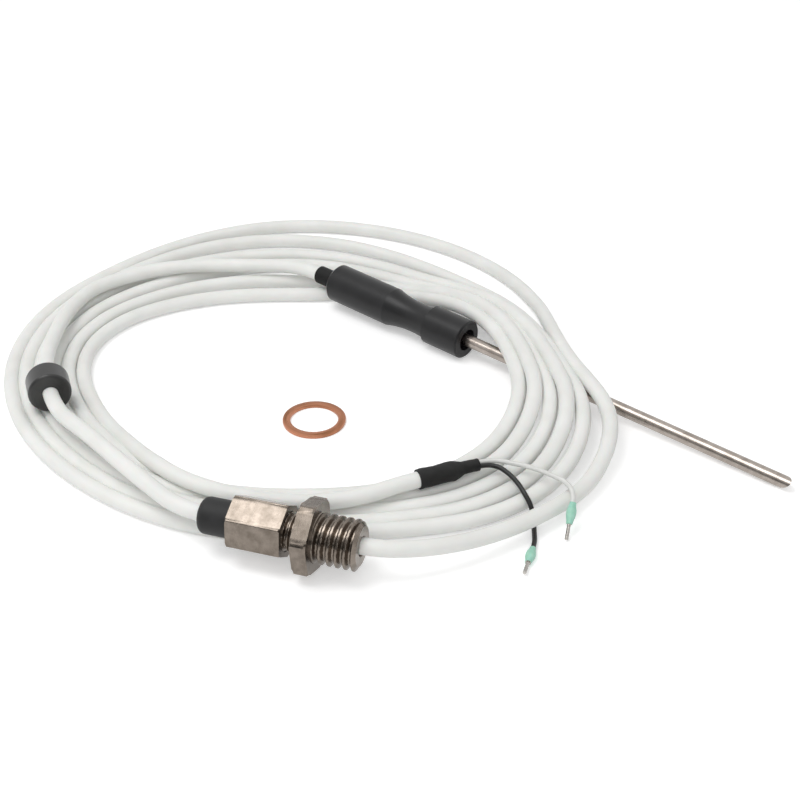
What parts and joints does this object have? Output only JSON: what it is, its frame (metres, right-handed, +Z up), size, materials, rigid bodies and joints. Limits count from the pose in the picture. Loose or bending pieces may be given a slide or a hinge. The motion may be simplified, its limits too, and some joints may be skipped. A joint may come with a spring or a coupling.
{
  "type": "meat probe",
  "caption": "Oven meat probe: hollow pointed spike in a waisted grip on a long coiled silicone cable, with a threaded wall gland, loose sealing washer and crimped lead ends.",
  "frame": {"origin": "bottom centre of the box round the probe, the gland and the washer, on the surface that they lie on", "axes": "+X along the spike towards its point, +Z up, +Y from the gland towards the probe"},
  "size_m": [0.2552, 0.19, 0.0217],
  "materials": {
    "spike_steel": "drawn and polished",
    "grip_plastic": "moulded satin",
    "black_rubber": "matte",
    "cord_jacket": "smooth silicone",
    "gland_metal": "plated and machined",
    "copper": "bright annealed",
    "stop_rubber": "satin",
    "splitter_film": "satin shrink film",
    "black_insulation": "satin",
    "white_insulation": "satin",
    "mint_plastic": "satin",
    "tinned_copper": "tinned",
    "sensor_bead": "resin"
  },
  "bodies": {
    "probe_and_cable": {"probe_tube": "spike_steel", "sensor_element": "sensor_bead", "sensor_leads": "tinned_copper", "handle_grip": "grip_plastic", "lead_splices": "tinned_copper", "cable_cores": "tinned_copper", "handle_sleeve": "black_rubber", "cable_in_handle": "cord_jacket", "gland_body": "gland_metal", "fitting_boot": "black_rubber", "thrust_ring": "gland_metal", "cable_seal": "cord_jacket", "cable_in_fitting": "cord_jacket", "sealing_washer": "copper", "cable_coil": "cord_jacket", "probe_cable": "cord_jacket", "cable_from_stud": "cord_jacket", "cable_at_splitter": "cord_jacket", "cable_stop": "stop_rubber", "splitter_sleeve": "splitter_film", "black_lead": "black_insulation", "white_lead": "white_insulation", "black_ferrule_collar": "mint_plastic", "white_ferrule_collar": "mint_plastic", "black_ferrule_pin": "tinned_copper", "white_ferrule_pin": "tinned_copper"},
    "cap": {"clamp_cap": "gland_metal"}
  },
  "joints": [
    {"name": "cap_turn", "type": "hinge", "parent": "probe_and_cable", "child": "cap", "pos_m": [-0.0058, -0.05722, 0.01083], "axis": [0.9304, 0.3665, 0], "continuous": true}
  ]
}
